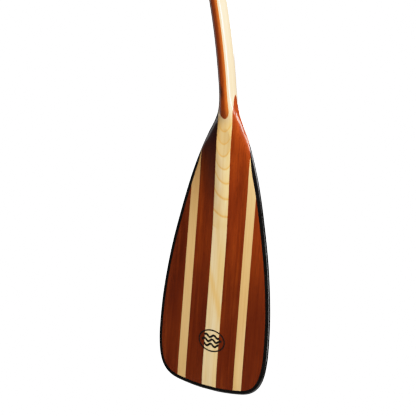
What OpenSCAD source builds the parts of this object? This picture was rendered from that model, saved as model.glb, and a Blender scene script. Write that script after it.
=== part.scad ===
// Double-bend canoe paddle, glued up from strips of red and pale wood.
// The blade hangs down in the XZ plane, its ridged face looks towards -Y, and the shaft
// leans towards -Y above the throat. The origin is in the middle of the palm grip.

/* [Blade] */
// Width of the blade at its widest
blade_w = 216; // [196:1:230]
// Width of the blank that is both the shaft's core and the blade's centre strip
blank_w = 27.9; // [27.6:0.1:28.4]
// Width of the red strip beside the centre strip
inner_strip_w = 33.7; // [30:0.1:37]
// Width of the pale strip outside it
pale_strip_w = 16; // [12:0.1:20]
// Width of the cast resin edge, seen on the face
edge_w = 7; // [5:0.1:9]
// Thickness of the blade's edge in front of the blade's middle plane
edge_front_t = 2.5; // [2:0.1:3.5]
// Thickness of the blade's edge behind the blade's middle plane
edge_back_t = 4.2; // [3:0.1:4.8]
// How much thicker the ridged face is in the middle of the blade
front_crown = 1.7; // [1:0.1:2.5]
// How much thicker the flat face is in the middle of the blade
back_crown = 0.6; // [0.4:0.1:1.2]

/* [Shaft] */
// Length of the whole paddle along its centre line
paddle_l = 1321; // [1219:1:1422]
// Width of the oval shaft, from side to side
shaft_w = 27.2; // [26:0.1:27.5]
// Depth of the oval shaft, from front to back
shaft_d = 29.8; // [28:0.1:32]
// Thickness of the red lamination on the front and on the back of the shaft
face_ply_t = 2.5; // [2:0.1:3.5]

/* [Bends] */
// Turn of the tight bend at the throat, in degrees
throat_turn = 10; // [6:0.5:12]
// Turn of the long bend above the throat, in degrees
shaft_turn = 10.5; // [8:0.5:12]
// Turn back at the lower hand, in degrees
hand_turn = 6.5; // [4:0.5:9]

/* [Grip] */
// Width of the palm grip
grip_w = 74; // [64:1:84]
// Length of the palm grip from its narrowest point to its top
grip_l = 118; // [100:1:130]
// Thickness of the red block on each side of the grip
grip_inner_t = 7; // [5:0.5:10]

/* [Hidden] */

red_wood = [0.52, 0.20, 0.08];
pale_wood = [0.90, 0.78, 0.56];
black_resin = [0.07, 0.06, 0.06];

// Half sizes
blade_half = blade_w / 2;
shaft_half_w = shaft_w / 2;
shaft_half_d = shaft_d / 2;
grip_half = grip_w / 2;

// Glue faces across the width, from the middle outwards
x_blank = blank_w / 2;
x_inner = x_blank + inner_strip_w;
x_pale = x_inner + pale_strip_w;
x_grip = x_blank + grip_inner_t;

// Glue faces through the depth, from the middle outwards
n_face = shaft_half_d - face_ply_t;
n_core = n_face / 2;

// Places along the centre line, from the tip of the blade
throat_start = 398;
throat_bend_l = 56;
shaft_bend_l = 178;
lower_straight_l = 50;
hand_bend_l = 140;
grip_start = paddle_l - grip_l;
grip_widest = paddle_l - 34;

// Straights and bends of the centre line: length, turn towards the front
path = [
  [throat_start, 0],
  [throat_bend_l, throat_turn],
  [shaft_bend_l, shaft_turn],
  [lower_straight_l, 0],
  [hand_bend_l, -hand_turn],
  [paddle_l, 0]
];

// Side of the blade: height above the tip, share of the widening from shaft to blade
side_shape = [
  [62, 0.988], [95, 1], [150, 0.970], [220, 0.867], [290, 0.704], [345, 0.549],
  [385, 0.402], [414, 0.267], [436, 0.141], [458, 0.042], [480, 0.0064], [508, 0]
];
side_low = side_shape[0][0];
side_high = side_shape[len(side_shape) - 1][0];
side_slope_low = 0.0012;

// Tip of the blade: one wide arc, and a rounded corner up to the side
tip_arc_r = 370;
tip_arc_x = 62;

// Smallest thickness left at a feathered edge
feather = 0.05;
// Radius of the rounding on the edge's rim
edge_r = 2.5;

// ---------- small helpers ----------
function ease(v) = let (k = min(1, max(0, v))) k * k * (3 - 2 * k);
function mix(a, b, k) = a + (b - a) * k;
function round_off(s, p) = pow(max(0, 1 - pow(min(1, s), p)), 1 / p);
function flat(lists) = [for (a = lists) for (b = a) b];
function down(list) = [for (i = [len(list) - 1:-1:0]) list[i]];

// ---------- centre line ----------
// Forward offset, height and lean at distance t from the tip
function centre(t, i = 0, y = 0, z = 0, lean = 0) =
  let (
    seg = path[i],
    s = min(t, seg[0]),
    turned = lean + seg[1] * s / seg[0],
    r = seg[1] == 0 ? 0 : seg[0] * 180 / (PI * seg[1]),
    y2 = seg[1] == 0 ? y + s * sin(lean) : y + r * (cos(lean) - cos(turned)),
    z2 = seg[1] == 0 ? z + s * cos(lean) : z + r * (sin(turned) - sin(lean))
  )
  t <= seg[0] || i == len(path) - 1 ? [y2, z2, turned] : centre(t - seg[0], i + 1, y2, z2, turned);

home = centre(grip_widest);

// Point at width x and depth n in front of the centre line, at distance t from the tip
function place(x, n, t) =
  let (c = centre(t)) [x, home[0] - c[0] - n * cos(c[2]), c[1] - home[1] - n * sin(c[2])];

// ---------- outline ----------
function knot_slope(i) =
  i == 0 ? side_slope_low :
  i == len(side_shape) - 1 ? 0 :
  (side_shape[i + 1][1] - side_shape[i - 1][1]) / (side_shape[i + 1][0] - side_shape[i - 1][0]);

function curve_part(i, z) =
  let (
    a = side_shape[i],
    b = side_shape[i + 1],
    gap = b[0] - a[0],
    k = (z - a[0]) / gap
  )
  a[1] * (2 * k - 3) * k * k + a[1] + b[1] * (3 - 2 * k) * k * k
  + gap * k * (1 - k) * (knot_slope(i) * (1 - k) - knot_slope(i + 1) * k);

function widening(z, i = 0) =
  z >= side_high ? 0 :
  z <= side_low ? side_shape[0][1] :
  z <= side_shape[i + 1][0] ? curve_part(i, z) : widening(z, i + 1);

outline_power = 2.4;
function grip_half_width(t) =
  t < grip_widest ?
  mix(shaft_half_w, grip_half, ease((t - grip_start) / (grip_widest - grip_start))) :
  grip_half * round_off((t - grip_widest) / (paddle_l - grip_widest), outline_power);

function half_width(t) =
  t > grip_start ? grip_half_width(t) : mix(shaft_half_w, blade_half, widening(t));

function width_slope(t) = half_width(t + 0.5) - half_width(t - 0.5);

// Corner of the tip, from the side down to the wide arc
corner_top = [half_width(side_low), side_low];
corner_end = [tip_arc_x, tip_arc_r - sqrt(tip_arc_r * tip_arc_r - tip_arc_x * tip_arc_x)];
corner_ctrl_1 = corner_top - [3.6, 37];
corner_ctrl_2 = corner_end + [28, 4.7];

function corner(k) =
  let (m = 1 - k)
  m * m * m * corner_end + 3 * m * m * k * corner_ctrl_2
  + 3 * m * k * k * corner_ctrl_1 + k * k * k * corner_top;

// Right half of the outline as one curve: tip arc 0 to 1, corner 1 to 2, side 2 to 3
function outline(q) =
  q <= 1 ? let (x = q * tip_arc_x) [x, tip_arc_r - sqrt(tip_arc_r * tip_arc_r - x * x)] :
  q <= 2 ? corner(q - 1) :
  let (z = mix(side_low, side_high, q - 2)) [half_width(z), z];

function outward(q) =
  let (a = outline(max(0, q - 0.002)), b = outline(min(3, q + 0.002)), d = b - a)
  [d[1], -d[0]] / norm(d);

// Resin edge: full width round the blade, tapering away below the throat
edge_end = 412;
edge_taper = 55;
function edge_width(q) =
  edge_w * (q < 2 ? 1 : ease((edge_end - outline(q)[1]) / edge_taper));

function inset(q, share = 1) = outline(q) - outward(q) * edge_width(q) * share;

// Widest point of the inset outline
q_wide = 2 + (95 - side_low) / (side_high - side_low);
x_wide = inset(q_wide)[0] - feather;

// Parameter where the inset outline has width x, below or above the widest point
function q_low(x, a = 0, b = q_wide, i = 0) =
  let (m = (a + b) / 2)
  i > 22 ? m : inset(m)[0] < x ? q_low(x, m, b, i + 1) : q_low(x, a, m, i + 1);
function q_high(x, a = q_wide, b = 3, i = 0) =
  let (m = (a + b) / 2)
  i > 22 ? m : inset(m)[0] > x ? q_high(x, m, b, i + 1) : q_high(x, a, m, i + 1);

// ---------- faces ----------
// Where the flat section of the blade starts to turn oval, and over what length
oval_from = 300;
oval_run = 150;
function ovalness(t) = ease((t - oval_from) / oval_run);

// The blade thins towards the tip over this length
tip_thin = 45;
function tip_share(t) = t > tip_thin ? 1 : 1 - pow(1 - t / tip_thin, 2);

// Height of the ridge in the middle of the front face, and where it rises
ridge_low = 4.9;
ridge_rise = 9;
ridge_half_w = 40;
ridge_from = 215;
ridge_run = 215;
function ridge(t) = ridge_low + ridge_rise * ease((t - ridge_from) / ridge_run);

// Where the front and the back face reach the shaft's full depth
front_full_from = 430;
front_full_run = 32;
back_full_from = 400;
back_full_run = 75;

// The grip is flatter in front and fuller behind than the shaft, and its top is a dome
grip_front_share = 0.79;
grip_back_share = 1.08;
dome_power = 2.2;
mid_shaft = 700;
function grip_dome(t) = round_off(max(0, t - grip_widest) / (paddle_l - grip_widest), dome_power);

function front_mid(t) =
  t < mid_shaft ?
  mix(ridge(t) - centre(t)[0], shaft_half_d, ease((t - front_full_from) / front_full_run)) :
  shaft_half_d * mix(1, grip_front_share, ease((t - grip_start + 30) / 75)) * grip_dome(t);
function back_mid(t) =
  t < mid_shaft ?
  mix(edge_back_t + back_crown, shaft_half_d, ease((t - back_full_from) / back_full_run)) :
  shaft_half_d * mix(1, grip_back_share, ease((t - grip_start - 10) / 60)) * grip_dome(t);

// Distance in from the outline, and the rounding of the blade's edge at that distance
function from_edge(x, t) =
  t < side_low ? edge_w : (half_width(t) - x) / sqrt(1 + pow(width_slope(t), 2));
function edge_round(d) = d >= edge_r ? 1 : round_off(1 - d / edge_r, 2);

function bell(s) = s >= 1 ? 0 : (1 + cos(180 * s)) / 2;

// Depth of the front (side 1) or back (side -1) face at x >= 0, with d from the edge
function face(side, x, t, d) =
  let (
    u = min(1, x / half_width(t)),
    m = ovalness(t),
    mid = side > 0 ? front_mid(t) : back_mid(t),
    edge_t = side > 0 ? edge_front_t : edge_back_t,
    crown = (side > 0 ? front_crown : mid - edge_t) * tip_share(t),
    rise = side > 0 ? (mid - edge_t - front_crown) * tip_share(t) : 0,
    blade = m == 1 ? 0 :
      (edge_t + crown * (1 - u * u) + rise * bell(x / ridge_half_w)) * edge_round(d)
  )
  mix(blade, mid * round_off(u, 2), m);
function depth(side, x, t) = face(side, x, t, ovalness(t) == 1 ? 0 : from_edge(x, t));

// Half width of the section at depth n
function half_at(side, n, t, a = 0, b = undef, i = 0) =
  let (hi = b == undef ? half_width(t) : b, m = (a + hi) / 2)
  i > 16 ? a : depth(side, m, t) > n ?
  half_at(side, n, t, m, hi, i + 1) : half_at(side, n, t, a, m, i + 1);

// First distance t between a and b at which the middle of the face passes depth n
function t_where(side, n, a, b, i = 0) =
  let (m = (a + b) / 2)
  i > 24 ? m : (depth(side, 0, m) > n) == (depth(side, 0, b) > n) ?
  t_where(side, n, a, m, i + 1) : t_where(side, n, m, b, i + 1);

// ---------- laminations that run along the shaft ----------
arc_steps = 4;
tip_steps = 6;
tip_run = 14;

// Distances t at which the laminations are drawn
runs = concat(
  [25, 60, 110, 170, 215, 240],
  [for (t = [262:12:382]) t],
  [for (t = [398:8:430]) t],
  [for (t = [436:4:464]) t],
  [472, 482, 494, 510, 530],
  [for (t = [555:25:632]) t],
  [632, 682, 717, 752, 787, 822, grip_start - 30],
  [for (k = [0:7]) mix(grip_start, grip_widest - 6, k / 7)],
  [for (k = [0:9]) grip_widest + (paddle_l - grip_widest) * sin(9 * k + 4)]
);

// Starts at its inner right corner, so that an end cap fans out from there
function ply_section(side, n_low, n_high, t) =
  let (
    wide = min(x_blank, half_at(side, n_low, t)),
    top = min(wide * 0.97, max(half_at(side, n_high, t), wide * 0.05)),
    cols = [for (k = [0:arc_steps]) mix(top, wide, sin(90 * k / arc_steps))],
    right = [for (x = cols) [x, min(n_high, max(depth(side, x, t), n_low + feather))]],
    left = [for (p = down(right)) [-p[0], p[1]]]
  )
  concat([[wide, n_low], [-wide, n_low]], left, right);

// One lamination between depths n_low and n_high, from t_a to t_b; a lamination that
// feathers out at an end gets closer sections there
module ply(side, n_low, n_high, t_a, t_b, tip_a = true, tip_b = true) {
  start = tip_a ? [for (k = [0:tip_steps - 1]) t_a + tip_run * pow(k / tip_steps, 2)] : [t_a];
  stop = tip_b ? [for (k = [tip_steps - 1:-1:0]) t_b - 4 * pow(k / tip_steps, 2)] : [t_b];
  from = tip_a ? t_a + tip_run * 0.85 : t_a + 2;
  to = tip_b ? t_b - 4 : t_b - 2;
  ts = concat(start, [for (t = runs) if (t > from && t < to) t], stop);
  sections = [for (t = ts) [for (p = ply_section(side, n_low, n_high, t)) place(p[0], side * p[1], t)]];
  loft(side > 0 ? sections : down(sections));
}

// Closed solid through a list of sections with equal numbers of points
module loft(sections) {
  m = len(sections[0]);
  last = len(sections) - 1;
  polyhedron(
    points = flat(sections),
    faces = concat(
      [for (i = [1:m - 2]) [0, i, i + 1]],
      [for (i = [1:m - 2]) [last * m, last * m + i + 1, last * m + i]],
      [for (s = [0:last - 1], i = [0:m - 1]) let (j = (i + 1) % m) [s * m + i, s * m + j + m, s * m + j]],
      [for (s = [0:last - 1], i = [0:m - 1]) let (j = (i + 1) % m) [s * m + i, s * m + i + m, s * m + j + m]]
    )
  );
}

// ---------- strips glued beside the blank ----------
// Closed solid between two grids of points, front[i][j] and back[i][j]
module slab(front, back) {
  a = len(front);
  b = len(front[0]);
  size = a * b;
  rim = concat(
    [for (j = [0:b - 2]) j],
    [for (i = [0:a - 2]) i * b + b - 1],
    [for (j = [b - 1:-1:1]) (a - 1) * b + j],
    [for (i = [a - 1:-1:1]) i * b]
  );
  cells = [for (i = [0:a - 2], j = [0:b - 2]) i * b + j];
  polyhedron(
    points = concat(flat(front), flat(back)),
    faces = concat(
      [for (c = cells) [c, c + 1, c + b + 1]],
      [for (c = cells) [c, c + b + 1, c + b]],
      [for (c = cells) [c + size, c + b + 1 + size, c + 1 + size]],
      [for (c = cells) [c + size, c + b + size, c + b + 1 + size]],
      [for (k = [0:len(rim) - 1]) [rim[k], rim[k] + size, rim[(k + 1) % len(rim)] + size]],
      [for (k = [0:len(rim) - 1]) [rim[k], rim[(k + 1) % len(rim)] + size, rim[(k + 1) % len(rim)]]]
    )
  );
}

// A strip drawn in columns of constant x, each from its low end to its high end
module strip(columns, rows) {
  grid = [for (c = columns) [for (r = rows) [c[0], mix(c[1], c[2], r)]]];
  front = [for (c = grid) [for (p = c) place(p[0], max(feather, depth(1, p[0], p[1])), p[1])]];
  back = [for (c = grid) [for (p = c) place(p[0], -max(feather, depth(-1, p[0], p[1])), p[1])]];
  slab(front, back);
}

blade_rows = [for (k = [0:22]) 1 - pow(1 - k / 22, 1.5)];
outer_rows = [for (k = [0:16]) k / 16];
grip_rows = [for (k = [0:12]) (1 - cos(15 * k)) / 2];

function blade_columns(xs) = [for (x = xs) [x, inset(q_low(x))[1], inset(q_high(x))[1]]];

// Width at which the resin edge has tapered away
q_taper = 2 + (edge_end - 9 - side_low) / (side_high - side_low);
x_taper = inset(q_taper)[0];

inner_xs = concat(
  [x_blank, x_blank + 2.5, x_blank + 7, x_blank + 13, x_blank + 19],
  [x_taper, mix(x_taper, x_inner, 0.5), x_inner]
);
pale_xs = [for (k = [0:3]) mix(x_inner, x_pale, k / 3)];
outer_xs = [for (k = [0:8]) mix(x_pale, x_wide, sin(11.25 * k))];

module right_inner_strip() strip(blade_columns(inner_xs), blade_rows);
module right_pale_strip() strip(blade_columns(pale_xs), blade_rows);
module right_outer_strip() strip(blade_columns(outer_xs), outer_rows);

// ---------- palm grip ----------
function t_grip(x, a, b, i = 0) =
  let (m = (a + b) / 2)
  i > 24 ? a : (half_width(m) > x) == (half_width(b) > x) ? t_grip(x, a, m, i + 1) : t_grip(x, m, b, i + 1);
function grip_columns(xs) =
  [for (x = xs) [x, t_grip(x, grip_start, grip_widest), t_grip(x, grip_widest, paddle_l)]];

module right_grip_inner() strip(grip_columns([for (k = [0:3]) mix(x_blank, x_grip, k / 3)]), grip_rows);
module right_grip_outer()
  strip(grip_columns([for (k = [0:6]) mix(x_grip, grip_half - feather, sin(15 * k))]), grip_rows);

// ---------- the sub-parts ----------
front_end_low = t_where(1, n_face + 2 * feather, 432, 462);
front_end_high = t_where(1, n_face + 2 * feather, grip_widest, 900);
front_core_low = t_where(1, n_core + 2 * feather, 215, 330);
front_core_high = t_where(1, n_core + 2 * feather, grip_widest, paddle_l);
back_core_low = t_where(-1, n_core + 2 * feather, 400, 475);
back_core_high = t_where(-1, n_core + 2 * feather, grip_widest, paddle_l);
back_end_low = t_where(-1, n_face + 2 * feather, 400, 475);
back_end_high = t_where(-1, n_face + 2 * feather, grip_widest, paddle_l);
blade_end = inset(q_low(x_blank))[1];
top_end = paddle_l - 0.02;

module shaft_front_lamination() {
  color(red_wood) ply(1, n_face, 2 * n_face, front_end_low, front_end_high);
}

module core_lamination_1() {
  color(pale_wood) ply(1, n_core, n_face, front_core_low, front_core_high);
}

module core_lamination_2() {
  color(pale_wood) ply(1, 0, n_core, blade_end, top_end, tip_a = false);
}

module core_lamination_3() {
  color(pale_wood) ply(-1, 0, n_core, blade_end, top_end, tip_a = false);
}

module core_lamination_4() {
  color(pale_wood) ply(-1, n_core, n_face, back_core_low, back_core_high);
}

module shaft_back_lamination() {
  color(red_wood) ply(-1, n_face, 2 * n_face, back_end_low, back_end_high);
}

module blade_inner_strip_right() {
  color(red_wood) right_inner_strip();
}

module blade_inner_strip_left() {
  color(red_wood) mirror([1, 0, 0]) right_inner_strip();
}

module blade_pale_strip_right() {
  color(pale_wood) right_pale_strip();
}

module blade_pale_strip_left() {
  color(pale_wood) mirror([1, 0, 0]) right_pale_strip();
}

module blade_outer_strip_right() {
  color(red_wood) right_outer_strip();
}

module blade_outer_strip_left() {
  color(red_wood) mirror([1, 0, 0]) right_outer_strip();
}

// The resin edge is drawn where the strips' columns meet it, so its inner wall fits theirs
edge_shares = [0.05, 0.15, 0.36, 1];
function edge_section(q) =
  let (
    w = edge_width(q),
    rim = outline(q),
    tops = [for (s = edge_shares) let (p = inset(q, s)) [p, face(1, p[0], p[1], s * w)]],
    bottoms = [for (s = edge_shares) let (p = inset(q, s)) [p, -face(-1, p[0], p[1], s * w)]]
  )
  [for (v = concat([[rim, 0]], tops, down(bottoms))) [v[0][0], v[1], v[0][1]]];

module blade_resin_edge() {
  low = [for (x = concat(inner_xs, [pale_xs[1], pale_xs[2]], outer_xs)) q_low(x)];
  high = [for (x = concat(down(outer_xs), [pale_xs[2], pale_xs[1], inner_xs[7], inner_xs[6]])) q_high(x)];
  right = [for (q = concat(low, high, [q_taper])) edge_section(q)];
  left = [for (s = down(right)) [for (p = s) [-p[0], p[1], p[2]]]];
  color(black_resin) loft([for (s = down(concat(left, right))) [for (p = s) place(p[0], p[1], p[2])]]);
}

module grip_inner_block_right() {
  color(red_wood) right_grip_inner();
}

module grip_inner_block_left() {
  color(red_wood) mirror([1, 0, 0]) right_grip_inner();
}

module grip_outer_block_right() {
  color(pale_wood) right_grip_outer();
}

module grip_outer_block_left() {
  color(pale_wood) mirror([1, 0, 0]) right_grip_outer();
}

shaft_front_lamination();
core_lamination_1();
core_lamination_2();
core_lamination_3();
core_lamination_4();
shaft_back_lamination();
blade_inner_strip_right();
blade_inner_strip_left();
blade_pale_strip_right();
blade_pale_strip_left();
blade_outer_strip_right();
blade_outer_strip_left();
blade_resin_edge();
grip_inner_block_right();
grip_inner_block_left();
grip_outer_block_right();
grip_outer_block_left();
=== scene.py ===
"""Double-bend laminated canoe paddle: every lamination, strip and block as a smooth varnished piece."""
import math

import bmesh
import bpy
import numpy as np
from mathutils import Matrix, Vector


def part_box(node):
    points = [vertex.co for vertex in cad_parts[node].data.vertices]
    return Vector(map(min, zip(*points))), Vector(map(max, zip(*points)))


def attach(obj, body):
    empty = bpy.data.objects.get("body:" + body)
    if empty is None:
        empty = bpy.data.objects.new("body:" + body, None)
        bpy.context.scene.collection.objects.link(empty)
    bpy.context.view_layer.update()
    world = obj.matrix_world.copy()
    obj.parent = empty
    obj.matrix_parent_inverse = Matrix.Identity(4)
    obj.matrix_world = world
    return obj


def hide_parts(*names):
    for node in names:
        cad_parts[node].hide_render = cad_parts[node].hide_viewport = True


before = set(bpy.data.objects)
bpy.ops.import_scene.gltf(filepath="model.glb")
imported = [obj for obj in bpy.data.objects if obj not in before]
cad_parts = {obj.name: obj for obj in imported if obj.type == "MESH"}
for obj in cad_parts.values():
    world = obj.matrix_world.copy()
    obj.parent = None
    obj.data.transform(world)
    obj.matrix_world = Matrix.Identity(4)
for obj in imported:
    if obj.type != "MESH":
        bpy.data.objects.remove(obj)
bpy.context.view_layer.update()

MM = 0.001
scene = bpy.context.scene

# ---------- the paddle's dimensions, in millimetres, as the CAD model has them ----------
BLADE_W = 216
BLANK_W = 27.9
INNER_STRIP_W = 33.7
PALE_STRIP_W = 16
EDGE_W = 7
EDGE_FRONT_T = 2.5
EDGE_BACK_T = 4.2
FRONT_CROWN = 1.7
BACK_CROWN = 0.6
PADDLE_L = 1321
SHAFT_W = 27.2
SHAFT_D = 29.8
FACE_PLY_T = 2.5
GRIP_W = 74
GRIP_L = 118
GRIP_INNER_T = 7

BLADE_HALF = BLADE_W / 2
SHAFT_HALF_W = SHAFT_W / 2
SHAFT_HALF_D = SHAFT_D / 2
GRIP_HALF = GRIP_W / 2
X_BLANK = BLANK_W / 2
X_INNER = X_BLANK + INNER_STRIP_W
X_PALE = X_INNER + PALE_STRIP_W
X_GRIP = X_BLANK + GRIP_INNER_T
N_FACE = SHAFT_HALF_D - FACE_PLY_T
N_CORE = N_FACE / 2
GRIP_START = PADDLE_L - GRIP_L
GRIP_WIDEST = PADDLE_L - 34

# Straights and bends of the centre line: length, turn towards the front in degrees
PATH = [(398, 0), (56, 10), (178, 10.5), (50, 0), (140, -6.5), (PADDLE_L, 0)]

# Side of the blade: height above the tip, share of the widening from shaft to blade
SIDE = np.array([
    (62, 0.988), (95, 1), (150, 0.970), (220, 0.867), (290, 0.704), (345, 0.549),
    (385, 0.402), (414, 0.267), (436, 0.141), (458, 0.042), (480, 0.0064), (508, 0),
])
SIDE_LOW, SIDE_HIGH = SIDE[0, 0], SIDE[-1, 0]
SIDE_SLOPE_LOW = 0.0012
TIP_ARC_R = 370
TIP_ARC_X = 62
EDGE_R = 2.5
EDGE_END = 412
EDGE_TAPER = 55
RIDGE_LOW = 4.9
RIDGE_RISE = 9
RIDGE_HALF_W = 40

# Where each change along the centre line starts, and over what length it runs
RIDGE_FROM, RIDGE_RUN = 215, 215
OVAL_FROM, OVAL_RUN = 300, 150
FRONT_FULL_FROM, FRONT_FULL_RUN = 430, 32
BACK_FULL_FROM, BACK_FULL_RUN = 400, 75
TIP_THIN = 45
MID_SHAFT = 700
GRIP_FRONT_SHARE = 0.79
GRIP_BACK_SHARE = 1.08
DOME_POWER = 2.2
OUTLINE_POWER = 2.4


# ---------- the shape, as functions of x across and t along the centre line ----------
def ease(v):
    k = np.clip(v, 0, 1)
    return k * k * (3 - 2 * k)


def mix(a, b, k):
    return a + (b - a) * k


def round_off(s, p):
    return np.maximum(0, 1 - np.minimum(1, s) ** p) ** (1 / p)


def centre(t):
    """Forward offset, height and lean in radians of the centre line at distance t from the tip."""
    t = np.asarray(t, float)
    y, z, lean = np.zeros(t.shape), np.zeros(t.shape), np.zeros(t.shape)
    start_t = start_y = start_z = start_lean = 0.0
    for length, turn in PATH:
        s = np.clip(t - start_t, 0, length)
        turn = math.radians(turn)
        now = start_lean + turn * s / length
        if turn:
            r = length / turn
            dy, dz = r * (math.cos(start_lean) - np.cos(now)), r * (np.sin(now) - math.sin(start_lean))
            end_y = r * (math.cos(start_lean) - math.cos(start_lean + turn))
            end_z = r * (math.sin(start_lean + turn) - math.sin(start_lean))
        else:
            dy, dz = s * math.sin(start_lean), s * math.cos(start_lean)
            end_y, end_z = length * math.sin(start_lean), length * math.cos(start_lean)
        here = t >= start_t
        y = np.where(here, start_y + dy, y)
        z = np.where(here, start_z + dz, z)
        lean = np.where(here, now, lean)
        start_t += length
        start_y += end_y
        start_z += end_z
        start_lean += turn
    return y, z, lean


HOME_Y, HOME_Z, _ = (float(v) for v in centre(GRIP_WIDEST))


def place(x, n, t):
    """Points in metres at width x and depth n in front of the centre line, at distance t from the tip."""
    y, z, lean = centre(t)
    x = np.broadcast_to(x, np.shape(y + n))
    return np.stack([x, HOME_Y - y - n * np.cos(lean), z - HOME_Z - n * np.sin(lean)], -1) * MM


def knot_slopes():
    slopes = np.empty(len(SIDE))
    slopes[1:-1] = (SIDE[2:, 1] - SIDE[:-2, 1]) / (SIDE[2:, 0] - SIDE[:-2, 0])
    slopes[0], slopes[-1] = SIDE_SLOPE_LOW, 0
    return slopes


SLOPES = knot_slopes()


def widening(z):
    z = np.clip(z, SIDE_LOW, SIDE_HIGH)
    i = np.clip(np.searchsorted(SIDE[:, 0], z, side="right") - 1, 0, len(SIDE) - 2)
    gap = SIDE[i + 1, 0] - SIDE[i, 0]
    k = (z - SIDE[i, 0]) / gap
    blend = k * k * (3 - 2 * k)
    swing = gap * k * (1 - k) * (SLOPES[i] * (1 - k) - SLOPES[i + 1] * k)
    return mix(SIDE[i, 1], SIDE[i + 1, 1], blend) + swing


def half_width(t):
    t = np.asarray(t, float)
    flare = mix(SHAFT_HALF_W, GRIP_HALF, ease((t - GRIP_START) / (GRIP_WIDEST - GRIP_START)))
    dome = GRIP_HALF * round_off(np.maximum(0, t - GRIP_WIDEST) / (PADDLE_L - GRIP_WIDEST), OUTLINE_POWER)
    below = mix(SHAFT_HALF_W, BLADE_HALF, widening(t))
    return np.where(t > GRIP_WIDEST, dome, np.where(t > GRIP_START, flare, below))


CORNER_TOP = np.array([float(half_width(SIDE_LOW)), SIDE_LOW])
CORNER_END = np.array([TIP_ARC_X, TIP_ARC_R - math.sqrt(TIP_ARC_R ** 2 - TIP_ARC_X ** 2)])
CORNER_CTRL_1 = CORNER_TOP - (3.6, 37)
CORNER_CTRL_2 = CORNER_END + (28, 4.7)


def outline(q):
    """Right half of the outline: tip arc for q 0 to 1, corner 1 to 2, side 2 to 3."""
    q = np.asarray(q, float)
    x = np.clip(q, 0, 1) * TIP_ARC_X
    arc = np.stack([x, TIP_ARC_R - np.sqrt(TIP_ARC_R ** 2 - x * x)], -1)
    k = np.clip(q - 1, 0, 1)[..., None]
    m = 1 - k
    ends = m ** 3 * CORNER_END + k ** 3 * CORNER_TOP
    corner = ends + 3 * m * m * k * CORNER_CTRL_2 + 3 * m * k * k * CORNER_CTRL_1
    z = mix(SIDE_LOW, SIDE_HIGH, np.clip(q - 2, 0, 1))
    side = np.stack([half_width(z), z], -1)
    return np.where(q[..., None] <= 1, arc, np.where(q[..., None] <= 2, corner, side))


def outward(q):
    d = outline(np.minimum(3, q + 0.002)) - outline(np.maximum(0, q - 0.002))
    d = d / np.linalg.norm(d, axis=-1, keepdims=True)
    return np.stack([d[..., 1], -d[..., 0]], -1)


def edge_width(q):
    return EDGE_W * np.where(q < 2, 1, ease((EDGE_END - outline(q)[..., 1]) / EDGE_TAPER))


def inset(q, share=1.0):
    q = np.asarray(q, float)
    return outline(q) - outward(q) * (edge_width(q) * share)[..., None]


def bisect(inside, low, high, shape):
    """Where inside() turns from true at low to false at high."""
    a, b = np.full(shape, float(low)), np.full(shape, float(high))
    for _ in range(40):
        m = (a + b) / 2
        ok = inside(m)
        a, b = np.where(ok, m, a), np.where(ok, b, m)
    return (a + b) / 2


Q_WIDE = 2 + (95 - SIDE_LOW) / (SIDE_HIGH - SIDE_LOW)
X_WIDE = float(inset(Q_WIDE)[0]) - 0.01


def q_low(x):
    x = np.asarray(x, float)
    return bisect(lambda q: inset(q)[..., 0] < x, 0, Q_WIDE, x.shape)


def q_high(x):
    x = np.asarray(x, float)
    return bisect(lambda q: inset(q)[..., 0] > x, Q_WIDE, 3, x.shape)


def grip_dome(t):
    return round_off(np.maximum(0, t - GRIP_WIDEST) / (PADDLE_L - GRIP_WIDEST), DOME_POWER)


def front_mid(t):
    ridge = RIDGE_LOW + RIDGE_RISE * ease((t - RIDGE_FROM) / RIDGE_RUN)
    low = mix(ridge - centre(t)[0], SHAFT_HALF_D, ease((t - FRONT_FULL_FROM) / FRONT_FULL_RUN))
    share = ease((t - GRIP_START + 30) / 75)
    high = mix(SHAFT_HALF_D, SHAFT_HALF_D * GRIP_FRONT_SHARE, share) * grip_dome(t)
    return np.where(t < MID_SHAFT, low, high)


def back_mid(t):
    low = mix(EDGE_BACK_T + BACK_CROWN, SHAFT_HALF_D, ease((t - BACK_FULL_FROM) / BACK_FULL_RUN))
    share = ease((t - GRIP_START - 10) / 60)
    high = mix(SHAFT_HALF_D, SHAFT_HALF_D * GRIP_BACK_SHARE, share) * grip_dome(t)
    return np.where(t < MID_SHAFT, low, high)


def from_edge(x, t):
    slope = half_width(t + 0.5) - half_width(t - 0.5)
    return np.where(t < SIDE_LOW, EDGE_W, (half_width(t) - x) / np.sqrt(1 + slope * slope))


def face(side, x, t, d):
    """Depth of the front (side 1) or back (side -1) face at x >= 0, at distance d from the edge."""
    x, t = np.broadcast_arrays(np.asarray(x, float), np.asarray(t, float))
    u = np.minimum(1, x / np.maximum(1e-9, half_width(t)))
    m = ease((t - OVAL_FROM) / OVAL_RUN)
    mid = front_mid(t) if side > 0 else back_mid(t)
    tip = np.where(t > TIP_THIN, 1, 1 - (1 - t / TIP_THIN) ** 2)
    edge_t = EDGE_FRONT_T if side > 0 else EDGE_BACK_T
    crown = (FRONT_CROWN if side > 0 else mid - edge_t) * tip
    rise = (mid - edge_t - FRONT_CROWN) * tip if side > 0 else 0
    bell = (1 + np.cos(math.pi * np.minimum(1, x / RIDGE_HALF_W))) / 2
    rim = round_off(np.maximum(0, 1 - d / EDGE_R), 2)
    blade = (edge_t + crown * (1 - u * u) + rise * bell) * rim
    return mix(blade, mid * round_off(u, 2), m)


def depth(side, x, t):
    x = np.abs(x)
    return face(side, x, t, from_edge(x, t))


def half_at(side, n, t):
    t = np.asarray(t, float)
    w = half_width(t)
    return w * bisect(lambda k: depth(side, k * w, t) > n, 0, 1, t.shape)


def t_where(side, n, a, b):
    """Distance t between a and b at which the middle of the face passes depth n."""
    deep = bool(depth(side, 0, a) > n)
    return float(bisect(lambda t: (depth(side, 0, t) > n) == deep, a, b, ()))


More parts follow.
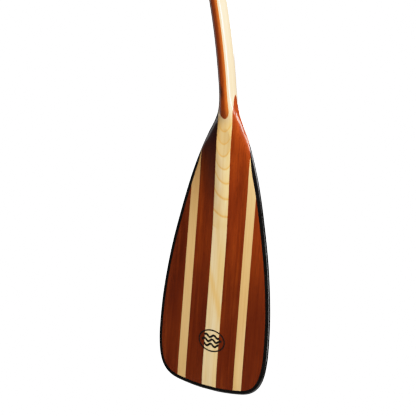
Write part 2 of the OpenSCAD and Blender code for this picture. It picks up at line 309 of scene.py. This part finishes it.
# ---------- meshes ----------
pieces = []


def add_piece(name, verts, faces, outer, grain):
    """A closed mesh; outer marks the faces that show, grain holds (x, depth, t) for the figure."""
    mesh = bpy.data.meshes.new(name)
    bm = bmesh.new()
    vector = bm.verts.layers.float_vector.new("grain")
    shows = bm.faces.layers.int.new("outer")
    made = []
    for v, g in zip(verts, grain):
        b = bm.verts.new(v)
        b[vector] = Vector(g)
        made.append(b)
    for f, o in zip(faces, outer):
        b = bm.faces.new([made[i] for i in f])
        b[shows] = int(o)
        b.smooth = True
    bmesh.ops.remove_doubles(bm, verts=bm.verts, dist=2e-7)
    bmesh.ops.dissolve_degenerate(bm, edges=bm.edges, dist=1e-7)
    bmesh.ops.recalc_face_normals(bm, faces=bm.faces)
    bm.to_mesh(mesh)
    bm.free()
    obj = bpy.data.objects.new(name, mesh)
    bpy.context.collection.objects.link(obj)
    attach(obj, "root")
    pieces.append(obj)
    return obj


def loft(name, sections, grain, outer):
    """Closed solid through sections[i][j]; outer[i][j] says if the facet from j to j + 1 shows."""
    rows, m = sections.shape[:2]
    faces = [list(range(m))[::-1], [(rows - 1) * m + j for j in range(m)]]
    shows = [0, 0]
    for i in range(rows - 1):
        for j in range(m):
            k = (j + 1) % m
            faces.append((i * m + j, i * m + k, (i + 1) * m + k, (i + 1) * m + j))
            shows.append(outer[i, j])
    return add_piece(name, sections.reshape(-1, 3), faces, shows, grain.reshape(-1, 3))


def slab(name, xs, ts):
    """Closed solid between the front and the back face over a grid of x and t."""
    a, b = ts.shape
    x = np.broadcast_to(xs[:, None], ts.shape)
    grids, grains = [], []
    for side in (1, -1):
        n = side * depth(side, x, ts)
        grids.append(place(x, n, ts))
        grains.append(np.stack([x, n, ts], -1) * MM)
    size = a * b
    faces, shows = [], []
    for i in range(a - 1):
        for j in range(b - 1):
            c = i * b + j
            faces.append((c, c + 1, c + b + 1, c + b))
            faces.append((c + size, c + b + size, c + b + 1 + size, c + 1 + size))
            shows += [1, 1]
    rim = [j for j in range(b - 1)] + [i * b + b - 1 for i in range(a - 1)]
    rim += [(a - 1) * b + j for j in range(b - 1, 0, -1)] + [i * b for i in range(a - 1, 0, -1)]
    for k, p in enumerate(rim):
        q = rim[(k + 1) % len(rim)]
        faces.append((p, p + size, q + size, q))
        shows.append(0)
    verts = np.concatenate([g.reshape(-1, 3) for g in grids])
    grain = np.concatenate([g.reshape(-1, 3) for g in grains])
    return add_piece(name, verts, faces, shows, grain)


# Rows of the blade's strips, closer together towards the throat where the strips feather out
BLADE_ROWS = 1 - (1 - np.linspace(0, 1, 171)) ** 1.6
BLADE_END = float(inset(q_low(X_BLANK))[1])
BLANK_TOP = float(inset(q_high(X_BLANK))[1])
FRONT_ENDS = (t_where(1, N_FACE, 432, 462), t_where(1, N_FACE, 900, GRIP_WIDEST))
FRONT_CORE_ENDS = (t_where(1, N_CORE, 215, 330), t_where(1, N_CORE, GRIP_WIDEST, PADDLE_L))
BACK_CORE_ENDS = (t_where(-1, N_CORE, 400, 475), t_where(-1, N_CORE, GRIP_WIDEST, PADDLE_L))
BACK_ENDS = (t_where(-1, N_FACE, 400, 475), t_where(-1, N_FACE, GRIP_WIDEST, PADDLE_L))


def run_stations():
    """Distances t at which all the laminations have a section."""
    tips = [
        end + way * 16 * (k / 10) ** 2
        for ends in (FRONT_ENDS, FRONT_CORE_ENDS, BACK_CORE_ENDS, BACK_ENDS)
        for end, way in zip(ends, (1, -1)) for k in range(11)
    ]
    dome = GRIP_WIDEST + (PADDLE_L - GRIP_WIDEST) * np.sin(np.radians(np.linspace(0, 90, 31)))
    parts = [
        mix(BLADE_END, BLANK_TOP, BLADE_ROWS),
        np.arange(BLANK_TOP, 640, 4.0), np.arange(640, 830, 8.0),
        np.linspace(830, GRIP_START - 34, 10), np.arange(GRIP_START - 30, GRIP_WIDEST, 3.0), dome, tips,
    ]
    ts = np.unique(np.round(np.concatenate(parts), 4))
    keep = np.concatenate([[True], np.diff(ts) > 0.02])
    return ts[keep]


RUN = run_stations()
ARC_STEPS = 10


def ply(name, side, n_low, n_high, ends):
    """One lamination between two depths, from ends[0] to ends[1] along the centre line."""
    ts = RUN[(RUN > ends[0] + 0.01) & (RUN < ends[1] - 0.01)]
    ts = np.concatenate([[ends[0]], ts, [ends[1]]])
    wide = np.minimum(X_BLANK, half_at(side, n_low, ts))
    flat = np.minimum(wide * 0.995, half_at(side, n_high, ts))
    covered = flat > 0.02
    flat = np.maximum(flat, wide * 0.01)
    k = np.sin(np.linspace(0, math.pi / 2, ARC_STEPS + 1))
    x = flat[:, None] + (wide - flat)[:, None] * k
    n = np.clip(depth(side, x, ts[:, None]), n_low, n_high)
    right = np.stack([x, n], -1)
    low = np.stack([wide, np.full(ts.shape, float(n_low))], -1)[:, None]
    half = np.concatenate([right, low], 1)
    left = half[:, ::-1] * (-1, 1)
    section = np.concatenate([half, left], 1)
    t = np.broadcast_to(ts[:, None], section.shape[:2])
    where = place(section[..., 0], side * section[..., 1], t)
    grain = np.stack([section[..., 0], side * section[..., 1], t], -1) * MM
    m = section.shape[1]
    shows = np.zeros((len(ts), m), int)
    shows[:, :ARC_STEPS] = 1
    shows[:, ARC_STEPS + 3:m - 1] = 1
    shows[:, m - 1] = ~covered
    return loft(name, where, grain, shows)


def blade_strip(name, xs, mirrored):
    low, high = inset(q_low(xs))[:, 1], inset(q_high(xs))[:, 1]
    ts = mix(low[:, None], high[:, None], BLADE_ROWS)
    return slab(name, -xs if mirrored else xs, ts)


def grip_block(name, xs, mirrored):
    low = bisect(lambda t: half_width(t) < xs, GRIP_START, GRIP_WIDEST, xs.shape)
    high = bisect(lambda t: half_width(t) > xs, GRIP_WIDEST, PADDLE_L, xs.shape)
    rows = (1 - np.cos(np.linspace(0, math.pi, 61))) / 2
    return slab(name, -xs if mirrored else xs, mix(low[:, None], high[:, None], rows))


def spread(a, b, step):
    return np.linspace(a, b, max(2, int(round((b - a) / step)) + 1))


Q_TAPER = 2 + (EDGE_END - 3 - SIDE_LOW) / (SIDE_HIGH - SIDE_LOW)
X_TAPER = float(inset(Q_TAPER)[0])
INNER_XS = np.concatenate([spread(X_BLANK, X_TAPER, 1.6), spread(X_TAPER, X_INNER, 1.6)[1:]])
PALE_XS = spread(X_INNER, X_PALE, 2)
OUTER_XS = mix(X_PALE, X_WIDE, np.sin(np.linspace(0, math.pi / 2, 31)))
GRIP_INNER_XS = spread(X_BLANK, X_GRIP, 1.2)
GRIP_OUTER_XS = mix(X_GRIP, GRIP_HALF - 0.01, np.sin(np.linspace(0, math.pi / 2, 16)))
EDGE_SHARES = np.array([0.004, 0.02, 0.05, 0.1, 0.17, 0.26, 0.36, 0.6, 1])


def resin_edge(name):
    low = q_low(np.concatenate([INNER_XS, PALE_XS[1:], OUTER_XS[1:]]))
    high = q_high(np.concatenate([OUTER_XS[::-1], PALE_XS[::-1][1:], INNER_XS[::-1][1:]]))
    q = np.concatenate([low, high[high < Q_TAPER + 1e-4]])
    rim = outline(q)
    cols = [np.concatenate([rim, np.zeros((len(q), 1))], 1)]
    for side in (1, -1):
        shares = EDGE_SHARES if side > 0 else EDGE_SHARES[::-1]
        for s in shares:
            p = inset(q, s)
            n = side * face(side, p[:, 0], p[:, 1], s * edge_width(q))
            cols.append(np.concatenate([p, n[:, None]], 1))
    right = np.stack(cols, 1)
    left = right[::-1] * (-1, 1, 1)
    both = np.concatenate([left, right])
    where = place(both[..., 0], both[..., 2], both[..., 1])
    shows = np.ones(both.shape[:2], int)
    shows[:, len(EDGE_SHARES)] = 0
    return loft(name, where, both[..., [0, 2, 1]] * MM, shows)


ply("shaft_front_face", 1, N_FACE, 99, FRONT_ENDS)
ply("core_ply_front_outer", 1, N_CORE, N_FACE, FRONT_CORE_ENDS)
ply("core_ply_front_inner", 1, 0, N_CORE, (BLADE_END, PADDLE_L))
ply("core_ply_back_inner", -1, 0, N_CORE, (BLADE_END, PADDLE_L))
ply("core_ply_back_outer", -1, N_CORE, N_FACE, BACK_CORE_ENDS)
ply("shaft_back_face", -1, N_FACE, 99, BACK_ENDS)
for hand, mirrored in (("right", False), ("left", True)):
    blade_strip(f"blade_inner_red_{hand}", INNER_XS, mirrored)
    blade_strip(f"blade_pale_{hand}", PALE_XS, mirrored)
    blade_strip(f"blade_outer_red_{hand}", OUTER_XS, mirrored)
    grip_block(f"grip_inner_red_{hand}", GRIP_INNER_XS, mirrored)
    grip_block(f"grip_outer_pale_{hand}", GRIP_OUTER_XS, mirrored)
resin_edge("blade_edge")


def join_normals():
    """The varnished surface runs over the glue lines, so facets of all pieces share its normals there."""
    points, normals = [], []
    for obj in pieces:
        mesh = obj.data
        co = np.array([v.co for v in mesh.vertices])
        for p in mesh.polygons:
            if mesh.attributes["outer"].data[p.index].value:
                points.append(co[list(p.vertices)])
                normals.append(np.array(p.normal) * p.area)
    sums = {}
    for corner_points, normal in zip(points, normals):
        for c in corner_points:
            key = tuple(np.round(c / 4e-6).astype(int))
            sums[key] = sums.get(key, 0) + normal
    for obj in pieces:
        mesh = obj.data
        loops = [None] * len(mesh.loops)
        for p in mesh.polygons:
            shows = mesh.attributes["outer"].data[p.index].value
            for i, v in zip(p.loop_indices, p.vertices):
                key = tuple(np.round(np.array(mesh.vertices[v].co) / 4e-6).astype(int))
                n = sums.get(key) if shows else None
                loops[i] = tuple(p.normal) if n is None else tuple(n / np.linalg.norm(n))
        mesh.normals_split_custom_set(loops)


join_normals()


EMBLEM_T = 82
EMBLEM_HALF_W = 25
EMBLEM_HALF_H = 17
RING_W = 2.4
WAVE_W = 3.6
WAVE_H = 2.0
WAVE_L = 15.5
INK_PROUD = 0.06
INK_SUNK = 0.1


def ribbon(path, width, closed):
    """Sections of a thin printed line that follows path in x and t over the front face."""
    ahead = np.roll(path, -1, 0) - np.roll(path, 1, 0)
    if not closed:
        ahead[0], ahead[-1] = path[1] - path[0], path[-1] - path[-2]
    ahead = ahead / np.linalg.norm(ahead, axis=1, keepdims=True)
    side = np.stack([-ahead[:, 1], ahead[:, 0]], -1) * width / 2
    edges = np.stack([path + side, path - side], 1)
    surface = depth(1, edges[..., 0], edges[..., 1])
    corners = [(0, INK_PROUD), (1, INK_PROUD), (1, -INK_SUNK), (0, -INK_SUNK)]
    spots = [place(edges[:, e, 0], surface[:, e] + lift, edges[:, e, 1]) for e, lift in corners]
    return np.stack(spots, 1)


def emblem(name):
    """A made-up mark: an oval ring round three waves."""
    turn = np.linspace(0, 2 * math.pi, 96, endpoint=False)
    oval = np.stack([EMBLEM_HALF_W * np.cos(turn), EMBLEM_T + EMBLEM_HALF_H * np.sin(turn)], -1)
    strokes = [(oval, RING_W, True)]
    for row, (rise, reach) in enumerate(((7.2, 15), (0, 19.5), (-7.2, 15))):
        x = np.linspace(-reach, reach, 61)
        wave = EMBLEM_T + rise + WAVE_H * np.sin(2 * math.pi * x / WAVE_L + row)
        strokes.append((np.stack([x, wave], -1), WAVE_W, False))
    verts, faces = [], []
    for path, width, closed in strokes:
        rings = ribbon(path, width, closed)
        start, count = sum(len(v) for v in verts), len(rings)
        verts.append(rings.reshape(-1, 3))
        for i in range(count if closed else count - 1):
            j = (i + 1) % count
            for k in range(4):
                m = (k + 1) % 4
                faces.append((start + i * 4 + k, start + i * 4 + m, start + j * 4 + m, start + j * 4 + k))
        if not closed:
            faces.append([start + k for k in (3, 2, 1, 0)])
            faces.append([start + (count - 1) * 4 + k for k in range(4)])
    verts = np.concatenate(verts)
    obj = add_piece(name, verts, faces, [0] * len(faces), verts)
    obj.data.shade_flat()
    return obj


emblem("printed_emblem")


# ---------- materials ----------
class Graph:
    """A node material under construction; sockets are joined as they are named."""

    def __init__(self, name):
        self.material = bpy.data.materials.new(name)
        self.material.use_nodes = True
        self.tree = self.material.node_tree
        self.shader = self.tree.nodes["Principled BSDF"]

    def node(self, kind, inputs=None, **settings):
        n = self.tree.nodes.new(kind)
        for key, value in settings.items():
            setattr(n, key, value)
        for key, value in (inputs or {}).items():
            self.feed(n.inputs[key], value)
        return n

    def feed(self, socket, value):
        if isinstance(value, bpy.types.NodeSocket):
            self.tree.links.new(value, socket)
        else:
            socket.default_value = value

    def math(self, operation, a, b=0.0, c=0.0):
        n = self.node("ShaderNodeMath", {0: a, 1: b, 2: c}, operation=operation)
        return n.outputs[0]

    def noise(self, vector, scale, detail=3.0, roughness=0.5, distortion=0.0):
        n = self.node("ShaderNodeTexNoise", {
            "Vector": vector, "Scale": scale, "Detail": detail,
            "Roughness": roughness, "Distortion": distortion,
        })
        return n.outputs["Fac"]

    def stretch(self, vector, scale, shift=(0, 0, 0)):
        inputs = {"Vector": vector, "Scale": scale, "Location": shift}
        return self.node("ShaderNodeMapping", inputs).outputs[0]

    def ramp(self, fac, stops):
        n = self.node("ShaderNodeValToRGB", {"Fac": fac})
        elements = n.color_ramp.elements
        while len(elements) < len(stops):
            elements.new(0.5)
        for element, (position, colour) in zip(elements, stops):
            element.position = position
            element.color = (*colour, 1)
        return n.outputs["Color"]

    def blend(self, fac, a, b, kind="MIX"):
        n = self.node("ShaderNodeMix", data_type="RGBA", blend_type=kind)
        self.feed(n.inputs[0], fac)
        self.feed(n.inputs[6], a)
        self.feed(n.inputs[7], b)
        return n.outputs[2]

    def range(self, value, low, high, to_low=0.0, to_high=1.0):
        n = self.node("ShaderNodeMapRange", {
            "Value": value, "From Min": low, "From Max": high, "To Min": to_low, "To Max": to_high,
        }, interpolation_type="SMOOTHSTEP")
        return n.outputs[0]

    def bump(self, height, strength, distance):
        n = self.node("ShaderNodeBump", {"Height": height, "Strength": strength, "Distance": distance})
        return n.outputs["Normal"]


def varnish(g, grain):
    """A deep clear coat that is nearly, but not quite, flat."""
    g.shader.inputs["Coat Weight"].default_value = 1.0
    g.shader.inputs["Coat Roughness"].default_value = 0.05
    g.shader.inputs["Coat IOR"].default_value = 1.5
    g.shader.inputs["Specular IOR Level"].default_value = 0.15
    waves = g.noise(g.stretch(grain, (1, 1, 0.35)), 70, 2)
    g.feed(g.shader.inputs["Coat Normal"], g.bump(waves, 0.25, 0.0006))


def grain_parts(g, seed):
    """The paddle's own coordinates, the same with the piece's own shift, and x, depth and t apart."""
    grain = g.node("ShaderNodeAttribute", attribute_name="grain").outputs["Vector"]
    split = g.node("ShaderNodeSeparateXYZ", {0: grain})
    shift = (0.37 * seed % 1.9, 0.53 * seed % 1.7, 0.91 * seed % 2.3)
    return grain, g.stretch(grain, (1, 1, 1), shift), split.outputs


def red_wood(seed, middle=1.0, throat=1.0, knot=None):
    """Varnished red cedar, darker towards the tip; middle and throat are its tones further up, which on
    some strips hold painted shade.
    """
    g = Graph(f"red_wood_{seed}")
    grain, own, (x, n, t) = grain_parts(g, seed)
    streaks = g.noise(g.stretch(own, (1, 1, 0.035)), 170, 4, 0.6, 0.3)
    fibres = g.noise(g.stretch(own, (1, 1, 0.012)), 900, 3, 0.6)
    clouds = g.noise(g.stretch(own, (1, 1, 0.3)), 26, 3, 0.55)
    pores = g.noise(g.stretch(own, (1, 1, 0.05)), 1500, 2, 0.5)
    fine = g.math("MULTIPLY_ADD", clouds, 0.36, g.math("MULTIPLY", fibres, 0.24))
    base = g.ramp(g.math("MULTIPLY_ADD", streaks, 0.40, fine), [
        (0.32, (0.104, 0.0105, 0.0011)),
        (0.46, (0.180, 0.0212, 0.0020)),
        (0.56, (0.242, 0.0325, 0.0027)),
        (0.72, (0.410, 0.0760, 0.0065)),
    ])
    low = g.range(t, 0.14, 0.27)
    high = g.range(t, 0.27, 0.44)
    # On the left strips and the shaft face these middle and throat tones are partly painted shade.
    tone = g.blend(low, (0.62, 0.58, 0.70, 1), (middle, middle, middle, 1))
    tone = g.blend(high, tone, (1.30 * throat, 1.45 * throat, 1.20 * throat, 1))
    base = g.blend(1.0, base, tone, "MULTIPLY")
    if knot:
        base = g.blend(g.range(x, 0.0015, 0.0070, 0.0, 0.75), base, (0.46, 0.118, 0.013, 1))
        across = g.math("DIVIDE", g.math("SUBTRACT", x, knot[0]), knot[2])
        along = g.math("DIVIDE", g.math("SUBTRACT", t, knot[1]), knot[3])
        squares = g.math("ADD", g.math("MULTIPLY", across, across), g.math("MULTIPLY", along, along))
        far = g.math("SQRT", squares)
        ragged = g.math("MULTIPLY_ADD", streaks, 0.9, far)
        base = g.blend(g.range(ragged, 0.5, 1.5, 0.85, 0.0), base, (0.060, 0.010, 0.002, 1))
    specks = g.range(pores, 0.30, 0.42, 0.62, 1.0)
    base = g.blend(1.0, base, g.ramp(specks, [(0, (0, 0, 0)), (1, (1, 1, 1))]), "MULTIPLY")
    g.feed(g.shader.inputs["Base Color"], base)
    g.feed(g.shader.inputs["Roughness"], g.range(fibres, 0.3, 0.7, 0.34, 0.5))
    g.feed(g.shader.inputs["Normal"], g.bump(fibres, 0.25, 0.0002))
    varnish(g, grain)
    return g.material


# Growth arcs where the ridge is carved down through the core: gap along the blade, and where the
# figure starts and ends. Towards the tip the arcs flatten and slide to the right.
ARC_GAP = 0.024
ARC_PHASE = 0.016
ARC_LOW, ARC_HIGH = 0.262, 0.452
BLOTCH_T = 0.158
# The left pale strip, which is darkened towards the throat by painted shade
PAINTED_SHADE_PALE_SEED = 14


def growth_arcs(g, x, t, wander):
    """How far each point lies into a growth arc, 1 on its dark line, and the fade of the figure."""
    u = g.math("DIVIDE", x, X_BLANK * MM)
    slide = g.range(t, 0.300, 0.395, 0.95, 0.0)
    bend = g.range(t, 0.305, 0.405, 0.0022, 0.0165)
    off = g.math("SUBTRACT", u, slide)
    lift = g.math("MULTIPLY", bend, g.math("MULTIPLY", off, off))
    uneven = g.math("MULTIPLY", g.math("SUBTRACT", wander, 0.5), 0.011)
    closer = g.math("ADD", g.range(t, 0.345, 0.43, -0.0115, 0.0), g.range(t, 0.28, 0.33, 0.0075, 0.0))
    level = g.math("SUBTRACT", g.math("SUBTRACT", t, lift), ARC_PHASE)
    level = g.math("ADD", level, g.math("ADD", uneven, closer))
    part = g.math("FRACT", g.math("DIVIDE", level, ARC_GAP))
    line = g.ramp(part, [
        (0.0, (1, 1, 1)), (0.075, (0.62,) * 3), (0.13, (0.24,) * 3), (0.50, (0.10,) * 3),
        (0.90, (0, 0, 0)), (0.965, (0.42,) * 3), (1.0, (1, 1, 1)),
    ])
    fade_in = g.range(t, ARC_LOW, ARC_LOW + 0.012)
    fade_out = g.range(t, ARC_HIGH - 0.02, ARC_HIGH, 1.0, 0.0)
    return g.math("MULTIPLY", line, g.math("MULTIPLY", fade_in, fade_out))


def pale_wood(seed, core=True):
    """Basswood: the core shows growth arcs at the ridge, the side strips fine straight lines."""
    g = Graph(f"pale_wood_{seed}")
    grain, own, (x, n, t) = grain_parts(g, seed)
    wander = g.noise(g.stretch(own, (1, 1, 0.12)), 22, 2)
    clouds = g.noise(g.stretch(own, (1, 1, 0.14)), 34, 3)
    fibres = g.noise(g.stretch(own, (1, 1, 0.012)), 800, 3, 0.6)
    streaks = g.noise(g.stretch(own, (1, 1, 0.02)), 260, 3, 0.5)
    if core:
        base = g.ramp(clouds, [(0.36, (0.82, 0.655, 0.400)), (0.64, (0.79, 0.540, 0.230))])
        warm = g.blend(g.range(t, 0.345, 0.42), (1, 1, 1, 1), (0.93, 0.84, 0.68, 1))
        base = g.blend(1.0, base, warm, "MULTIPLY")
        # Painted shade: from the throat up the core is darker than the same wood in the blade, holding
        # down the stronger light on the shaft.
        base = g.blend(g.range(t, 0.43, 0.47), base, (0.575, 0.425, 0.280, 1))
        slant = g.math("MULTIPLY_ADD", x, 2.4, g.math("SUBTRACT", t, BLOTCH_T))
        ragged = g.math("MULTIPLY", g.math("SUBTRACT", streaks, 0.5), 0.03)
        stain = g.math("ADD", g.math("ABSOLUTE", slant), ragged)
        stain = g.range(stain, 0.0, 0.024, 0.75, 0.0)
        base = g.blend(stain, base, (0.78, 0.47, 0.150, 1))
        line = g.math("MULTIPLY", growth_arcs(g, x, t, wander), 0.92)
        base = g.blend(line, base, (0.74, 0.38, 0.085, 1))
    else:
        base = g.ramp(clouds, [(0.36, (0.745, 0.490, 0.222)), (0.64, (0.70, 0.418, 0.156))])
        rings = g.math("MULTIPLY_ADD", g.math("SUBTRACT", wander, 0.5), 0.003, x)
        part = g.math("FRACT", g.math("DIVIDE", rings, 0.0031))
        line = g.ramp(part, [(0.0, (0, 0, 0)), (0.6, (0.05,) * 3), (0.9, (1, 1, 1)), (1.0, (0, 0, 0))])
        base = g.blend(g.math("MULTIPLY", line, 0.25), base, (0.60, 0.33, 0.10, 1))
        if seed == PAINTED_SHADE_PALE_SEED:
            # Painted shade: this left pale strip darkens towards the throat.
            darker = g.blend(g.range(t, 0.20, 0.36), (1, 1, 1, 1), (0.72, 0.64, 0.54, 1))
            base = g.blend(1.0, base, darker, "MULTIPLY")
    shade = g.math("MULTIPLY_ADD", streaks, 0.5, g.math("MULTIPLY", fibres, 0.5))
    base = g.blend(1.0, base, g.ramp(shade, [(0.36, (0.90, 0.86, 0.78)), (0.58, (1, 1, 1))]), "MULTIPLY")
    g.feed(g.shader.inputs["Base Color"], base)
    g.feed(g.shader.inputs["Roughness"], g.range(fibres, 0.3, 0.7, 0.36, 0.5))
    g.feed(g.shader.inputs["Normal"], g.bump(fibres, 0.2, 0.0002))
    varnish(g, grain)
    return g.material


def black_resin():
    g = Graph("black_resin")
    grain = g.node("ShaderNodeAttribute", attribute_name="grain").outputs["Vector"]
    blotch = g.noise(grain, 60, 3)
    base = g.ramp(blotch, [(0.3, (0.0032, 0.0028, 0.0026)), (0.7, (0.0062, 0.0052, 0.0048))])
    g.feed(g.shader.inputs["Base Color"], base)
    g.feed(g.shader.inputs["Roughness"], g.range(g.noise(grain, 420, 2), 0.3, 0.7, 0.12, 0.19))
    g.feed(g.shader.inputs["Normal"], g.bump(g.noise(g.stretch(grain, (1, 1, 0.4)), 90, 2), 0.2, 0.0005))
    g.shader.inputs["Specular IOR Level"].default_value = 0.5
    return g.material


def printed_ink():
    g = Graph("printed_ink")
    grain = g.node("ShaderNodeAttribute", attribute_name="grain").outputs["Vector"]
    worn = g.noise(grain, 900, 3)
    base = g.ramp(worn, [(0.3, (0.002, 0.0018, 0.0016)), (0.7, (0.006, 0.005, 0.004))])
    g.feed(g.shader.inputs["Base Color"], base)
    g.feed(g.shader.inputs["Roughness"], g.range(worn, 0.3, 0.7, 0.25, 0.4))
    g.shader.inputs["Coat Weight"].default_value = 0.6
    g.shader.inputs["Coat Roughness"].default_value = 0.08
    return g.material


# Tones (middle, throat) of red pieces by seed. The left strips, 4 and 6, are darker than their wood would
# be: part of their shade is painted in, as on the left pale strip. The shaft face, 1, holds painted shade
# near the throat.
RED_TONE_AND_SHADE = {1: (1.0, 0.80), 3: (1.0, 0.88), 4: (0.86, 0.06), 6: (0.62, 0.30)}
SHAFT_KNOT = (-0.0020, 0.490, 0.0055, 0.017)
RED = {"shaft_front_face": 1, "shaft_back_face": 2}
PALE = {
    "core_ply_front_outer": 11, "core_ply_front_inner": 11,
    "core_ply_back_inner": 12, "core_ply_back_outer": 12,
}
by_name = {o.name: o for o in pieces}
for i, hand in enumerate(("right", "left")):
    RED[f"blade_inner_red_{hand}"] = 3 + i
    RED[f"blade_outer_red_{hand}"] = 5 + i
    RED[f"grip_inner_red_{hand}"] = 7 + i
    PALE[f"blade_pale_{hand}"] = 13 + i
    PALE[f"grip_outer_pale_{hand}"] = 15 + i
made = {}
for name, seed in {**RED, **PALE}.items():
    if seed not in made:
        if name in RED:
            knot = SHAFT_KNOT if seed == 1 else None
            made[seed] = red_wood(seed, *RED_TONE_AND_SHADE.get(seed, (1.0, 1.0)), knot=knot)
        else:
            made[seed] = pale_wood(seed, core=seed < 13)
    by_name[name].data.materials.append(made[seed])
by_name["blade_edge"].data.materials.append(black_resin())
by_name["printed_emblem"].data.materials.append(printed_ink())

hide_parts("shaft_front_lamination")
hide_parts("core_lamination_1")
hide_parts("core_lamination_2")
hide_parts("core_lamination_3")
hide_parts("core_lamination_4")
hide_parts("shaft_back_lamination")
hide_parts("blade_resin_edge")
for hand in ("right", "left"):
    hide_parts(f"blade_inner_strip_{hand}")
    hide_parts(f"blade_pale_strip_{hand}")
    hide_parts(f"blade_outer_strip_{hand}")
    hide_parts(f"grip_inner_block_{hand}")
    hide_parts(f"grip_outer_block_{hand}")


# ---------- floor, light and camera ----------
def direction(azimuth, elevation):
    a, e = math.radians(azimuth), math.radians(elevation)
    return Vector((math.sin(a) * math.cos(e), -math.cos(a) * math.cos(e), math.sin(e)))


tip_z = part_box("blade_resin_edge")[0][2]
blade_y = HOME_Y * MM
throat = Vector(place(0.0, 0.0, 450.0))
blade_middle = Vector(place(0.0, 0.0, 160.0))


def softbox(name, azimuth, elevation, distance, size, watts, aim):
    data = bpy.data.lights.new(name, "AREA")
    data.shape = "RECTANGLE"
    data.size, data.size_y = size
    data.energy = watts
    light = bpy.data.objects.new(name, data)
    way = direction(azimuth, elevation)
    light.location = aim + way * distance
    light.rotation_euler = way.to_track_quat("Z", "Y").to_euler()
    light.visible_camera = False
    bpy.context.collection.objects.link(light)
    return light


softbox("high", 74, 50, 1.7, (0.6, 0.6), 9, throat)
softbox("front", 48, 46, 2.2, (1.0, 0.7), 55, blade_middle)
softbox("key", 82, 20, 1.3, (0.85, 0.52), 15, throat)
softbox("shaft_strip", 70, -18, 1.2, (0.2, 0.76), 8, throat)
softbox("left_card", -88, -6, 1.3, (0.45, 1.1), 1.2, throat)
softbox("back", 188, 15, 2.4, (0.7, 1.6), 45, throat)

WHITE = 1.6
TONES = [(0.3125, 0.5), (0.53, 0.78), (0.78, 0.95)]
scene.view_settings.use_curve_mapping = True
tone_curve = scene.view_settings.curve_mapping
tone_curve.white_level = (WHITE, WHITE, WHITE)
for spot in [(0.1, 0.16)] + TONES:
    tone_curve.curves[3].points.new(*spot)
tone_curve.update()

world = bpy.data.worlds.new("studio")
scene.world = world
world.use_nodes = True
w = world.node_tree
w.nodes.clear()


def backdrop(colour, strength):
    node = w.nodes.new("ShaderNodeBackground")
    node.inputs["Color"].default_value = (*colour, 1)
    node.inputs["Strength"].default_value = strength
    return node.outputs[0]


def choose(ray, yes, no):
    node = w.nodes.new("ShaderNodeMixShader")
    w.links.new(rays.outputs[ray], node.inputs[0])
    w.links.new(no, node.inputs[1])
    w.links.new(yes, node.inputs[2])
    return node.outputs[0]


rays = w.nodes.new("ShaderNodeLightPath")
unseen = choose("Is Glossy Ray", backdrop((0.9, 0.95, 1), 0.012), backdrop((1, 0.98, 0.95), 0.085))
sky = choose("Is Camera Ray", backdrop((1, 1, 1), WHITE), unseen)
w.links.new(sky, w.nodes.new("ShaderNodeOutputWorld").inputs[0])

FLOOR_DROP = 0.8
FLOOR_R = 1.25
floor_place = (0, blade_y, tip_z - FLOOR_DROP)
bpy.ops.mesh.primitive_circle_add(vertices=128, radius=FLOOR_R, fill_type="NGON", location=floor_place)
floor = bpy.context.object
floor.name = "floor"
pale = Graph("pale_floor")
pale.shader.inputs["Base Color"].default_value = (0.9, 0.9, 0.89, 1)
pale.shader.inputs["Roughness"].default_value = 0.9
floor.data.materials.append(pale.material)

CAM_AZIMUTH = 36
CAM_ELEVATION = 13.12
CAM_ROLL = 4.34
CAM_DISTANCE = 5.07
CAM_LENS = 275.6
pivot = Vector(place(0.0, 0.0, 148.0))
back_to_camera = direction(CAM_AZIMUTH, CAM_ELEVATION)
level = Vector((math.cos(math.radians(CAM_AZIMUTH)), math.sin(math.radians(CAM_AZIMUTH)), 0))
above = back_to_camera.cross(level)
roll = math.radians(CAM_ROLL)
right = level * math.cos(roll) + above * math.sin(roll)
up = above * math.cos(roll) - level * math.sin(roll)
camera = bpy.data.objects.new("camera", bpy.data.cameras.new("camera"))
camera.data.lens = CAM_LENS
camera.data.clip_end = 50
place_of_camera = pivot + back_to_camera * CAM_DISTANCE
aim = pivot - right * 0.0133 + up * 0.1465
ahead = (aim - place_of_camera).normalized()
side_way = ahead.cross(up).normalized()
turned_up = side_way.cross(ahead)
turned = Matrix((side_way, turned_up, -ahead)).transposed().to_4x4()
camera.matrix_world = Matrix.Translation(place_of_camera) @ turned
bpy.context.collection.objects.link(camera)
scene.camera = camera
scene.view_settings.view_transform = "Standard"
